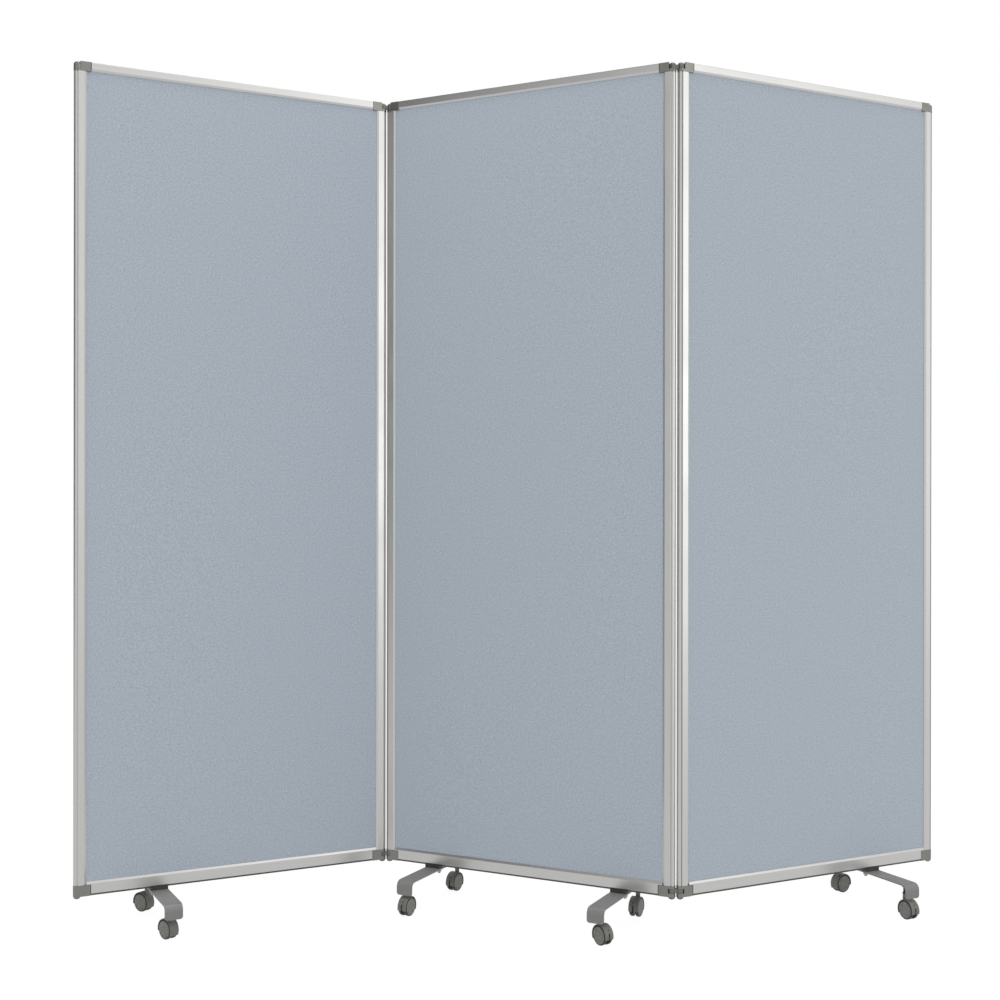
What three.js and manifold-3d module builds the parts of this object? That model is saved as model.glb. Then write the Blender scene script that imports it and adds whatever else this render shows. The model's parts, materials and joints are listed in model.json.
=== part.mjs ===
// Ward privacy screen: three fabric panels in aluminium frames, joined by double-pin hinges,
// standing on four strap feet with hooded twin-wheel casters.
// Millimetres, +Z up, front towards -Y. The panels stand in a shallow zigzag.
import * as THREE from "three";
import { mergeVertices } from "three/addons/utils/BufferGeometryUtils.js";
import Module from "manifold-3d";

const wasm = await Module();
wasm.setup();

// Driving dimensions

const panelWidth = 677; // between the outer edges of a frame's flat faces
const overallHeight = 1800;
const foldFromStraight = 53.4; // degrees between neighbouring panels as they stand
const innerFootInset = 116; // from the end of the middle panel to the middle of its foot
const outerFootInset = 169; // from the free end of a side panel to the middle of its foot
const fitGap = 0.3; // between pieces that touch
const overrun = 1; // how far a cut runs past what it cuts

// Frame extrusions

const frameThickness = 16.5;
const wall = 1.5;
const edgeEase = 0.6; // small chamfer on the outer edges of the extrusions
const stileFlat = 13.8; // flat face of a stile, from its outer edge
const topRailFlat = 14.1;
const bottomRailFlat = 20.6;
const lipWidth = 4.4; // bevelled lip beside the fabric
const lipDrop = 2.15; // how far the lip falls back towards the fabric
const channelDepth = 5.6; // how deep the board sits in the frame
const boardThickness = 10;
const boardSlack = 0.3;
const boardEdgeGap = 0.4;

// Round nose along the outer edge of a stile, with the bore for the hinge pins

const noseRadius = 7.5;
const pinInset = 0.6; // hinge axis inside the outer edge of the flat face
const noseGrooveWidth = 2.4;
const noseGrooveDepth = 3.2;
const noseGrooveInset = 0.5; // inner side of the groove, from the outer edge of the face
const pinBoreRadius = 4.1;
const pinRadius = 3.8;

// T-slot along the underside of a bottom rail

const beadDrop = 4;
const beadHalfWidth = 5.9;
const slotHalfWidth = 3.3;
const slotChamberHalfWidth = 5.3;
const slotChamberStart = 0.8; // above the rail's flat underside
const slotChamberHeight = 4.8;

// Corner mouldings

const cornerLength = 27.5; // along the rail from the outer edge of the face
const topCornerHeight = 19.5;
const bottomCornerHeight = 22.7;
const cornerProud = 0.15; // how far a corner stands out of the frame's faces
const cornerRound = 1.2;
const knuckleRadius = 7.9;
const tenonReach = 22;
const tenonTaper = 2;

// Hinge links with their pins

const foldedGap = 0.8; // between two panels folded flat
const linkRingRadius = 7.3;
const linkNeckHalfWidth = 4.5;
const linkThickness = 8.4;
const linkGap = 0.4; // above and below a link in its knuckle
const linkSideGap = 0.6; // round a link in its knuckle
const lowerKnuckleHeight = 7.8; // under the bottom link
const topKnuckleHeight = 5.3; // under the top link
const pinReach = 14; // how far a pin runs into the stile
const pinHeadRadius = 7.1;
const pinHeadDrop = 6;
const pinHeadRim = 1.2;
const domeShares = [0.35, 0.7]; // of a quarter turn, for the rounding of a pin head

// Strap feet

const footHalfSpan = 132;
const footWidth = 37;
const footThickness = 3.2;
const footDrop = 30; // from the strap's top to the lower edge of its skirts
const footBend = 13;
const skirtCorner = 5.5; // rounding of a skirt's lower corners
const skirtGap = 3.6; // between a skirt's lower edge and the top of a caster hood
const boltRadius = 3;
const boltHoleRadius = 3.4;
const boltHalfSpacing = 13;
const boltEnd = 3.5; // bolt below its nut
const boltNutRadius = 5.6;
const boltNutHeight = 4;
const slideHalfLength = 18;
const slideHalfWidth = 4.9;
const slideThickness = 3.3;
const saddleHeight = 10; // from the strap up to the rail's flat underside
const saddleHalfLength = 18;
const saddleHalfDepth = 8.5;
const saddleRibPitch = 2.6;
const saddleRibDepth = 0.7;

// Casters

const stemInset = 23; // from the outer face of a skirt to the middle of the stem behind it
const casterTrail = 10.5;
const wheelRadius = 20;
const wheelShoulder = 1.8; // rounding at a wheel's outer edge
const axleRadius = 3;
const axleBoreRadius = 3.25;
const wheelInnerFace = 3.9; // from the caster's middle plane
const wheelOuterFace = 10.3;
const wheelDiscRise = 0.2; // how far the middle of a wheel stands proud of its rim
const hoodClearance = 0.7; // between the wheels and the hood round them
const hoodWall = 1.7;
const hoodHalfWidth = 10.4;
const hoodEase = 0.8;
const hoodBelowAxleAhead = 28; // degrees that the hood runs on below the axle on the stem's side
const hoodBelowAxleBehind = 14; // and on the trailing side, which has the slot
const webHalfThickness = 3.4;
const webDrop = 10.5; // lowest point of the web below the axle
const webFootHalfLength = 8;
const ventHalfWidth = 1.6;
const ventBelowAxle = 7;
const ventAboveAxle = 8;
const ventDepth = 6;
const roundHoleRadius = 1.4;
const roundHoleAngle = 37; // degrees above the axle
const bossRadius = 5;
const bossRise = 9.6; // how far the boss stands above the top of the hood
const bossRootDrop = 6; // how far the boss reaches down into the hood
const stemRadius = 4;
const stemHoleRadius = 4.3;
const stemPoint = 1.2;
const stemRingRadius = 5.8;
const stemRingGap = 0.8; // between the boss and the ring above it
const stemRingHeight = 1.6;
const stemNutRadius = 7.4;
const stemNutHeight = 6.5;

// Compass headings of the trailing side of each caster, in degrees from -Y towards +X,
// as the screen was last rolled into place
const casterHeadings = {
  left: { front: -132, back: -123 },
  middle_left: { front: -28, back: -31 },
  middle_right: { front: 34.5, back: -26 },
  right: { front: 26.7, back: 122 },
};

// Vertices nearer than this are one vertex.
const mergeDistance = 1e-4;

// Sides of the round forms
const noseSides = 12;
const headSides = 16;
const boltSides = 10;
const wheelSides = 20;
const hoodSides = 14;
const bendSides = 4;
const hexagon = 6;

// Derived sizes

const halfThickness = frameThickness / 2;
const halfFold = foldFromStraight / 2;
const hingeSpacing = frameThickness + foldedGap;
const halfPinSpan = panelWidth / 2 - pinInset;
const frameTop = overallHeight;

// Heights from the floor up through caster, strap and saddle to the bottom rail
const hoodInnerRadius = wheelRadius + hoodClearance;
const hoodOuterRadius = hoodInnerRadius + hoodWall;
const hoodTop = wheelRadius + hoodOuterRadius;
const bossTop = hoodTop + bossRise;
const footBottom = hoodTop + skirtGap;
const footTop = footBottom + footDrop;
const footUnderside = footTop - footThickness;
const bottomRailHeight = footTop + saddleHeight;

const casterHalfSpan = footHalfSpan - stemInset; // from a panel's middle plane to a stem

const beadBottom = bottomRailHeight - beadDrop;
const bottomCornerTop = beadBottom + bottomCornerHeight;
const topCornerBottom = frameTop - topCornerHeight;
const stileWidth = stileFlat + lipWidth;
const topRailHeight = topRailFlat + lipWidth;
const bottomRailDepth = bottomRailFlat + lipWidth;
const channelHalf = boardThickness / 2 + boardSlack;
const chamberHalf = halfThickness - wall;
const stileWeb = stileWidth - channelDepth;
const topRailWeb = topRailHeight - channelDepth;
const bottomRailWeb = bottomRailDepth - channelDepth;
const slotChamberTop = slotChamberStart + slotChamberHeight;
const railEnd = cornerLength + fitGap;
const bottomLinkBase = beadBottom + lowerKnuckleHeight + linkGap;
const topLinkBase = topCornerBottom + topKnuckleHeight + linkGap;

// Materials

const material = (name, color, roughness, metalness) =>
  new THREE.MeshStandardMaterial({ name, color, roughness, metalness });

const finishes = {
  aluminium: material("satin anodised aluminium", 0xc9c9c6, 0.38, 0.9),
  fabric: material("woven screen fabric", 0xa4adb6, 0.95, 0),
  corner: material("grey moulded corner", 0x7e7f7c, 0.6, 0),
  link: material("dark moulded hinge link", 0x4a4b4a, 0.55, 0),
  strap: material("grey painted steel strap", 0x8d8e90, 0.45, 0.2),
  bolt: material("zinc plated steel", 0x9a9b9d, 0.35, 0.85),
  hood: material("grey caster hood", 0x86867f, 0.5, 0),
  wheel: material("grey caster wheel", 0x74746e, 0.55, 0),
};

// Geometry helpers

// A closed three.js geometry as a solid whose faces point outwards.
function solidOf(geometry, matrix) {
  const bare = geometry.index ? geometry.toNonIndexed() : geometry.clone();
  bare.deleteAttribute("normal");
  bare.deleteAttribute("uv");
  if (matrix) bare.applyMatrix4(matrix);
  const merged = mergeVertices(bare, mergeDistance);
  return new wasm.Manifold(
    new wasm.Mesh({
      numProp: 3,
      vertProperties: merged.attributes.position.array,
      triVerts: new Uint32Array(merged.index.array),
    }),
  );
}

function meshOf(name, solid, finish) {
  const made = solid.getMesh();
  const geometry = new THREE.BufferGeometry();
  geometry.setAttribute("position", new THREE.BufferAttribute(made.vertProperties, 3));
  geometry.setIndex(new THREE.BufferAttribute(made.triVerts, 1));
  geometry.computeVertexNormals();
  const mesh = new THREE.Mesh(geometry, finish);
  mesh.name = name;
  return mesh;
}

const joined = (...solids) => solids.reduce((whole, next) => whole.add(next));

const shift = (x, y, z) => new THREE.Matrix4().makeTranslation(x, y, z);

// Turns a prism drawn in a plane so that its outline's first axis becomes `across`,
// its second `up` and its length `along`.
const turned = (across, up, along) => new THREE.Matrix4().makeBasis(across, up, along);

const alongX = turned(
  new THREE.Vector3(0, 1, 0),
  new THREE.Vector3(0, 0, 1),
  new THREE.Vector3(1, 0, 0),
);
const alongY = turned(
  new THREE.Vector3(1, 0, 0),
  new THREE.Vector3(0, 0, 1),
  new THREE.Vector3(0, -1, 0),
);

// A prism from an outline, standing on z = 0. Each arc in the outline gets arcSides sides.
function prism(shape, length, arcSides, easing) {
  const bevel = easing
    ? {
        bevelEnabled: true,
        bevelThickness: easing,
        bevelSize: easing,
        bevelOffset: -easing,
        bevelSegments: 1,
      }
    : { bevelEnabled: false };
  const depth = easing ? length - 2 * easing : length;
  const curveSegments = arcSides / 2;
  const geometry = new THREE.ExtrudeGeometry(shape, { depth, curveSegments, ...bevel });
  if (easing) geometry.translate(0, 0, easing);
  return geometry;
}

const polygon = (points) => new THREE.Shape(points.map(([x, y]) => new THREE.Vector2(x, y)));

function circle(radius, x = 0, y = 0) {
  const shape = new THREE.Shape();
  shape.absarc(x, y, radius, 0, 2 * Math.PI, false);
  return shape;
}

const rectangle = (left, right, low, high) =>
  polygon([
    [left, low],
    [right, low],
    [right, high],
    [left, high],
  ]);

// A box between two corners.
function block([x0, y0, z0], [x1, y1, z1]) {
  const geometry = new THREE.BoxGeometry(x1 - x0, y1 - y0, z1 - z0);
  return solidOf(geometry, shift((x0 + x1) / 2, (y0 + y1) / 2, (z0 + z1) / 2));
}

const upright = (radius, low, high, sides, x = 0, y = 0) =>
  solidOf(prism(circle(radius, x, y), high - low, sides), shift(0, 0, low));

// A turned piece about the Z axis, from its outline as [radius, height] pairs going up.
function turnedPiece(outline, sides, x = 0, y = 0) {
  const points = outline.map(([radius, height]) => new THREE.Vector2(radius, height));
  const geometry = new THREE.LatheGeometry(points, sides);
  const upY = new THREE.Matrix4().makeRotationX(Math.PI / 2);
  return solidOf(geometry, shift(x, y, 0).multiply(upY));
}

// Outlines of the three extrusions

// The stile in plan: nose and bore at the left, channel for the board at the right.
function stileOutline() {
  const grooveOuter = noseGrooveInset - noseGrooveWidth;
  const grooveFloor = halfThickness - noseGrooveDepth;
  const noseEnd = Math.acos((grooveOuter - pinInset) / noseRadius);
  const shape = new THREE.Shape();
  shape.absarc(pinInset, 0, noseRadius, noseEnd, 2 * Math.PI - noseEnd, false);
  const lowerSide = [
    [grooveOuter, -grooveFloor],
    [noseGrooveInset, -grooveFloor],
    [noseGrooveInset, -halfThickness + edgeEase],
    [noseGrooveInset + edgeEase, -halfThickness],
    [stileFlat, -halfThickness],
    [stileWidth, -halfThickness + lipDrop],
    [stileWidth, -channelHalf],
    [stileWeb, -channelHalf],
  ];
  const upperSide = lowerSide.map(([x, y]) => [x, -y]).reverse();
  for (const [x, y] of [...lowerSide, ...upperSide]) shape.lineTo(x, y);
  const chamberStart = pinInset + pinBoreRadius + wall;
  shape.holes.push(circle(pinBoreRadius, pinInset, 0));
  shape.holes.push(rectangle(chamberStart, stileWeb - wall, -chamberHalf, chamberHalf));
  return shape;
}

// A rail from its outer face inwards: the first axis is the frame's thickness.
function railSide(flat, depth, start) {
  return [
    ...start,
    [halfThickness, flat],
    [halfThickness - lipDrop, depth],
    [channelHalf, depth],
    [channelHalf, depth - channelDepth],
  ];
}

function mirroredOutline(side) {
  const other = side.map(([x, y]) => [-x, y]).reverse();
  return polygon([...side, ...other]);
}

function topRailOutline() {
  const crown = [
    [halfThickness - 2 * edgeEase, 0],
    [halfThickness - edgeEase / 2, edgeEase / 2],
    [halfThickness, 2 * edgeEase],
  ];
  const shape = mirroredOutline(railSide(topRailFlat, topRailHeight, crown));
  shape.holes.push(rectangle(-chamberHalf, chamberHalf, wall, topRailWeb - wall));
  return shape;
}

function bottomRailOutline() {
  const bead = [
    [slotChamberHalfWidth, slotChamberTop],
    [slotChamberHalfWidth, slotChamberStart],
    [slotHalfWidth, slotChamberStart],
    [slotHalfWidth, -beadDrop],
    [beadHalfWidth, -beadDrop],
    [beadHalfWidth, 0],
    [halfThickness - edgeEase, 0],
    [halfThickness, edgeEase],
  ];
  const shape = mirroredOutline(railSide(bottomRailFlat, bottomRailDepth, bead));
  const chamberStart = slotChamberTop + wall;
  shape.holes.push(rectangle(-chamberHalf, chamberHalf, chamberStart, bottomRailWeb - wall));
  return shape;
}

// Panel pieces, each with its origin in the middle of the panel's width, on the floor.
// Left-hand pieces are modelled from the outer edge of the face and placed by leftEdge.

function stileSolid() {
  const low = bottomCornerTop + fitGap;
  const high = topCornerBottom - fitGap;
  return solidOf(prism(stileOutline(), high - low, noseSides), shift(0, 0, low));
}

function topRailSolid() {
  const length = panelWidth - 2 * railEnd;
  const toWorld = shift(-length / 2, 0, frameTop)
    .multiply(new THREE.Matrix4().makeRotationX(Math.PI))
    .multiply(alongX);
  return solidOf(prism(topRailOutline(), length, bendSides), toWorld);
}

function bottomRailSolid() {
  const length = panelWidth - 2 * (stileWidth + fitGap);
  const toWorld = shift(-length / 2, 0, bottomRailHeight).multiply(alongX);
  const whole = solidOf(prism(bottomRailOutline(), length, bendSides), toWorld);
  const cornerRoom = (side) => {
    const near = side * (panelWidth / 2 - railEnd);
    const far = side * (panelWidth / 2 + overrun);
    return block(
      [Math.min(near, far), -halfThickness - overrun, beadBottom - overrun],
      [Math.max(near, far), halfThickness + overrun, bottomCornerTop + fitGap],
    );
  };
  return whole.subtract(cornerRoom(-1)).subtract(cornerRoom(1));
}

const boardHalfWidth = panelWidth / 2 - stileWeb - boardEdgeGap;
const boardLow = bottomRailHeight + bottomRailWeb + boardEdgeGap;
const boardHigh = frameTop - topRailWeb - boardEdgeGap;

const boardSolid = () =>
  block(
    [-boardHalfWidth, -boardThickness / 2, boardLow],
    [boardHalfWidth, boardThickness / 2, boardHigh],
  );

// The plan of a corner: a round knuckle on the hinge axis that runs into a square body.
function cornerPlan() {
  const half = halfThickness + cornerProud;
  const shape = new THREE.Shape();
  shape.absarc(pinInset, 0, knuckleRadius, Math.PI / 2, -Math.PI / 2, false);
  shape.lineTo(pinInset + half - knuckleRadius, -half);
  shape.lineTo(cornerLength - cornerRound, -half);
  shape.lineTo(cornerLength, -half + cornerRound);
  shape.lineTo(cornerLength, half - cornerRound);
  shape.lineTo(cornerLength - cornerRound, half);
  shape.lineTo(pinInset + half - knuckleRadius, half);
  return shape;
}

// The room that a link and its pins need in a corner, from low to high.
function linkRoom(low, high) {
  const radius = linkRingRadius + linkSideGap;
  const reach = pinInset + linkNeckHalfWidth + linkSideGap;
  const depth = halfThickness + overrun;
  return upright(radius, low, high, headSides, pinInset).add(
    block([pinInset - radius - overrun, -depth, low], [reach, depth, high]),
  );
}

const pinBore = (low, high) => upright(pinBoreRadius, low, high, noseSides, pinInset);

// A tenon that fills a chamber but for the fit gap, tapered at its tip. Its outline runs
// along the first axis; `place` turns each of its points into one on the panel.
function tenon(low, high, place) {
  const outline = [
    [-overrun, low + fitGap],
    [tenonReach - tenonTaper, low + fitGap],
    [tenonReach, low + fitGap + tenonTaper],
    [tenonReach, high - fitGap - tenonTaper],
    [tenonReach - tenonTaper, high - fitGap],
    [-overrun, high - fitGap],
  ];
  const half = chamberHalf - fitGap;
  const shape = polygon(outline.map(([along, across]) => place(along, across)));
  return solidOf(prism(shape, 2 * half, bendSides), shift(0, half, 0).multiply(alongY));
}

const stileTenon = (base, direction) =>
  tenon(pinInset + pinBoreRadius + wall, stileWeb - wall, (along, across) => [
    across,
    base + direction * along,
  ]);

const railTenon = (low, high) =>
  tenon(low, high, (along, across) => [cornerLength + along, across]);

// The domed end of a hinge pin, standing on z = base and pointing up or down.
function pinHead(base, direction, rise, x) {
  const rim = Math.min(pinHeadRim, rise / 2);
  const crown = rise - rim;
  const dome = domeShares.map((share) => {
    const angle = (share * Math.PI) / 2;
    return [pinHeadRadius * Math.cos(angle), rim + crown * Math.sin(angle)];
  });
  const outline = [[0, 0], [pinHeadRadius, 0], [pinHeadRadius, rim], ...dome, [0, rise]];
  const placed = outline.map(([radius, height]) => [radius, base + direction * height]);
  return turnedPiece(direction > 0 ? placed : placed.reverse(), headSides, x);
}

function cornerSolid(top, hinged) {
  const low = top ? topCornerBottom : beadBottom;
  const high = top ? frameTop : bottomCornerTop;
  let body = solidOf(prism(cornerPlan(), high - low, noseSides), shift(0, 0, low));
  if (top) {
    const boardRoom = block(
      [stileWeb, -channelHalf, topCornerBottom - overrun],
      [cornerLength + overrun, channelHalf, frameTop - topRailWeb],
    );
    body = body
      .subtract(boardRoom)
      .add(stileTenon(topCornerBottom, -1))
      .add(railTenon(frameTop - topRailWeb + wall, frameTop - wall));
  } else {
    const chamberLow = bottomRailHeight + slotChamberTop + wall;
    const chamberHigh = bottomRailHeight + bottomRailWeb - wall;
    body = body.add(stileTenon(bottomCornerTop, 1)).add(railTenon(chamberLow, chamberHigh));
  }
  if (!hinged) {
    if (top) return roundedEnd(body);
    return body.add(pinHead(beadBottom, -1, pinHeadDrop, pinInset));
  }
  const roomLow = top ? topLinkBase - linkGap : bottomLinkBase - linkGap;
  const roomHigh = top ? frameTop + overrun : bottomLinkBase + linkThickness + linkGap;
  return body
    .subtract(linkRoom(roomLow, roomHigh))
    .subtract(pinBore(low - overrun, high + overrun));
}

// Rounds the upper outer edge of a free end to the dome that a pin head has at a hinge.
function roundedEnd(body) {
  const rise = frameTop - topLinkBase - linkThickness;
  const keep = joined(
    upright(knuckleRadius + overrun, topCornerBottom - overrun, frameTop - rise, noseSides, pinInset),
    pinHead(frameTop - rise, 1, rise, pinInset),
    block(
      [pinInset + linkNeckHalfWidth, -frameThickness, topCornerBottom - 2 * tenonReach],
      [panelWidth / 2, frameThickness, frameTop],
    ),
  );
  return body.intersect(keep);
}

// Hinge link: two rings side by side with a neck, its two pins and their heads.
// Its origin is midway between the pins, on the floor.
function linkSolid(top) {
  const base = top ? topLinkBase : bottomLinkBase;
  const halfSpacing = hingeSpacing / 2;
  const ring = (x) => upright(linkRingRadius, base, base + linkThickness, headSides, x);
  const neck = block(
    [-halfSpacing, -linkNeckHalfWidth, base],
    [halfSpacing, linkNeckHalfWidth, base + linkThickness],
  );
  const low = top ? topCornerBottom - pinReach : beadBottom - fitGap - overrun;
  const high = top ? base + linkThickness + overrun : bottomCornerTop + pinReach;
  const pin = (x) => upright(pinRadius, low, high, noseSides, x);
  const head = (x) =>
    top
      ? pinHead(base + linkThickness - overrun, 1, frameTop - base - linkThickness + overrun, x)
      : pinHead(beadBottom - fitGap, -1, pinHeadDrop - fitGap, x);
  return joined(
    neck,
    ...[-halfSpacing, halfSpacing].flatMap((x) => [ring(x), pin(x), head(x)]),
  );
}

// Foot pieces, with their origin under the middle of the foot, along Y across the panel.

const quarterTurn = Math.PI / 2;

// The strap from the side: level, and bent down to a skirt at both ends.
function strapOutline() {
  const outer = footHalfSpan;
  const inner = outer - footThickness;
  const low = footBottom - overrun;
  const bendAt = [outer - footBend, footTop - footBend];
  const insideBend = footBend - footThickness;
  const shape = new THREE.Shape();
  shape.moveTo(inner, low);
  shape.lineTo(outer, low);
  shape.absarc(bendAt[0], bendAt[1], footBend, 0, quarterTurn);
  shape.absarc(-bendAt[0], bendAt[1], footBend, quarterTurn, 2 * quarterTurn);
  shape.lineTo(-outer, low);
  shape.lineTo(-inner, low);
  shape.absarc(-bendAt[0], bendAt[1], insideBend, 2 * quarterTurn, quarterTurn, true);
  shape.absarc(bendAt[0], bendAt[1], insideBend, quarterTurn, 0, true);
  return shape;
}

// The strap from its end: as wide as a skirt, with the skirt's lower corners rounded.
function skirtOutline() {
  const cornerX = footWidth / 2 - skirtCorner;
  const cornerZ = footBottom + skirtCorner;
  const shape = new THREE.Shape();
  shape.absarc(cornerX, cornerZ, skirtCorner, -quarterTurn, 0);
  shape.lineTo(footWidth / 2, footTop + overrun);
  shape.lineTo(-footWidth / 2, footTop + overrun);
  shape.absarc(-cornerX, cornerZ, skirtCorner, 2 * quarterTurn, 3 * quarterTurn);
  return shape;
}

const boltPlaces = [-boltHalfSpacing, boltHalfSpacing];
const stemPlaces = [-casterHalfSpan, casterHalfSpan];

// The strap with the two nuts welded under it for the casters.
function footArmSolid() {
  const halfLength = footHalfSpan + overrun;
  const halfWidth = footWidth / 2 + overrun;
  const bent = solidOf(
    prism(strapOutline(), 2 * halfWidth, bendSides),
    shift(-halfWidth, 0, 0).multiply(alongX),
  );
  const edges = solidOf(
    prism(skirtOutline(), 2 * halfLength, bendSides),
    shift(0, halfLength, 0).multiply(alongY),
  );
  let arm = bent.intersect(edges);
  for (const x of boltPlaces) {
    const low = footUnderside - overrun;
    arm = arm.subtract(upright(boltHoleRadius, low, footTop + overrun, boltSides, x));
  }
  for (const y of stemPlaces) {
    const nutBase = footUnderside - stemNutHeight;
    const nutRoot = footTop - footThickness / 2;
    arm = arm
      .add(upright(stemNutRadius, nutBase, nutRoot, hexagon, 0, y))
      .subtract(upright(stemHoleRadius, nutBase - overrun, footUnderside, boltSides, 0, y));
  }
  return arm;
}

// Moulded saddle between the strap and the rail, grooved for the rail's bead.
function saddleSolid() {
  const low = footTop + fitGap;
  const high = bottomRailHeight - fitGap;
  const grooveHalf = beadHalfWidth + fitGap;
  const ribs = [];
  for (let z = low + saddleRibPitch / 2; z < high - saddleRibPitch / 4; z += saddleRibPitch) {
    ribs.push([saddleHalfDepth - saddleRibDepth, z], [saddleHalfDepth, z + saddleRibPitch / 2]);
  }
  const half = [
    [saddleHalfDepth, low],
    ...ribs,
    [saddleHalfDepth, high],
    [grooveHalf, high],
    [grooveHalf, beadBottom - fitGap],
  ];
  const toWorld = shift(-saddleHalfLength, 0, 0).multiply(alongX);
  let saddle = solidOf(prism(mirroredOutline(half), 2 * saddleHalfLength, bendSides), toWorld);
  for (const x of boltPlaces) {
    const hole = upright(boltHoleRadius, low - overrun, beadBottom + overrun, boltSides, x);
    saddle = saddle.subtract(hole);
  }
  return saddle;
}

// Two bolts on a strip that slides in the rail's slot, with their nuts under the strap.
function footBoltsSolid() {
  const slideLow = bottomRailHeight + slotChamberStart + fitGap;
  const slide = block(
    [-slideHalfLength, -slideHalfWidth, slideLow],
    [slideHalfLength, slideHalfWidth, slideLow + slideThickness],
  );
  const nutTop = footUnderside - fitGap;
  const nutBase = nutTop - boltNutHeight;
  const bolts = boltPlaces.flatMap((x) => [
    upright(boltRadius, nutBase - boltEnd, slideLow + slideThickness / 2, boltSides, x),
    upright(boltNutRadius, nutBase, nutTop, hexagon, x),
  ]);
  return joined(slide, ...bolts);
}

// Caster pieces, with their origin on the floor under the stem and the trail along +X.

const radians = THREE.MathUtils.degToRad;

// A hood over both wheels, a web between them, the boss and the stem in one piece.
function hoodSolid() {
  const start = -radians(hoodBelowAxleBehind);
  const end = Math.PI + radians(hoodBelowAxleAhead);
  const place = (halfWidth) => shift(casterTrail, halfWidth, wheelRadius).multiply(alongY);
  const fenderShape = new THREE.Shape();
  fenderShape.absarc(0, 0, hoodOuterRadius, start, end, false);
  fenderShape.absarc(0, 0, hoodInnerRadius, end, start, true);
  const fender = solidOf(
    prism(fenderShape, 2 * hoodHalfWidth, hoodSides, hoodEase),
    place(hoodHalfWidth),
  );
  const webRadius = (hoodInnerRadius + hoodOuterRadius) / 2;
  const webShape = new THREE.Shape();
  webShape.absarc(0, 0, webRadius, start, end, false);
  webShape.lineTo(-webFootHalfLength, -webDrop);
  webShape.lineTo(webFootHalfLength, -webDrop);
  const web = solidOf(prism(webShape, 2 * webHalfThickness, hoodSides), place(webHalfThickness));
  const wheelRoom = solidOf(
    prism(circle(hoodInnerRadius), 2 * hoodHalfWidth, wheelSides),
    place(hoodHalfWidth),
  );
  const boss = turnedPiece(bossOutline(), boltSides).subtract(wheelRoom);
  return joined(fender, web, boss)
    .subtract(ventRoom())
    .subtract(roundHole())
    .subtract(axleBore());
}

// Boss and stem from inside the hood, past the ring on the stem, up to the stem's tip.
function bossOutline() {
  const root = wheelRadius + Math.sqrt(hoodInnerRadius ** 2 - casterTrail ** 2) - bossRootDrop;
  const ringBase = bossTop + stemRingGap;
  const ringTop = ringBase + stemRingHeight;
  const stemTop = footUnderside - fitGap;
  return [
    [0, root],
    [bossRadius, root],
    [bossRadius, bossTop],
    [stemRadius, bossTop],
    [stemRadius, ringBase],
    [stemRingRadius, ringBase],
    [stemRingRadius, ringTop],
    [stemRadius, ringTop],
    [stemRadius, stemTop - stemPoint],
    [stemRadius - stemPoint, stemTop],
    [0, stemTop],
  ];
}

// Upright slot through the trailing side of the hood, open at its lower end.
const ventRoom = () =>
  block(
    [casterTrail + hoodInnerRadius - ventDepth, -ventHalfWidth, wheelRadius - ventBelowAxle],
    [casterTrail + hoodOuterRadius + overrun, ventHalfWidth, wheelRadius + ventAboveAxle],
  );

// Small round hole above the slot, square to the hood.
function roundHole() {
  const length = hoodWall + ventDepth;
  const toPlace = shift(casterTrail, 0, wheelRadius)
    .multiply(new THREE.Matrix4().makeRotationY(Math.PI / 2 - radians(roundHoleAngle)))
    .multiply(shift(0, 0, hoodOuterRadius + overrun - length));
  return solidOf(prism(circle(roundHoleRadius), length, hexagon), toPlace);
}

const axleBore = () =>
  solidOf(
    prism(circle(axleBoreRadius), 2 * hoodHalfWidth, boltSides),
    shift(casterTrail, hoodHalfWidth, wheelRadius).multiply(alongY),
  );

// Two wheels on their axle. Its origin is the middle of the axle, which lies along Y.
function wheelsSolid() {
  const side = [
    [axleRadius, wheelInnerFace],
    [wheelRadius, wheelInnerFace],
    [wheelRadius, wheelOuterFace - wheelShoulder],
    [wheelRadius - wheelShoulder / 3, wheelOuterFace - wheelShoulder / 3],
    [wheelRadius - wheelShoulder, wheelOuterFace],
    [0, wheelOuterFace + wheelDiscRise],
  ];
  const other = side.map(([radius, along]) => [radius, -along]).reverse();
  const points = [...other, ...side].map(([radius, along]) => new THREE.Vector2(radius, along));
  return solidOf(new THREE.LatheGeometry(points, wheelSides));
}

// Assembly

const halfTurn = Math.PI;
const tilt = radians(halfFold);
const middleHalf = new THREE.Vector2(halfPinSpan * Math.cos(tilt), -halfPinSpan * Math.sin(tilt));
const sideCentre = 2 * middleHalf.x + hingeSpacing;

const panels = [
  { name: "left", x: -sideCentre, turn: tilt, hinged: { left: false, right: true } },
  { name: "middle", x: 0, turn: -tilt, hinged: { left: true, right: true } },
  { name: "right", x: sideCentre, turn: tilt, hinged: { left: true, right: false } },
];

const feet = [
  { name: "left", panel: "left", side: -1, inset: outerFootInset },
  { name: "middle_left", panel: "middle", side: -1, inset: innerFootInset },
  { name: "middle_right", panel: "middle", side: 1, inset: innerFootInset },
  { name: "right", panel: "right", side: 1, inset: outerFootInset },
];

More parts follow.
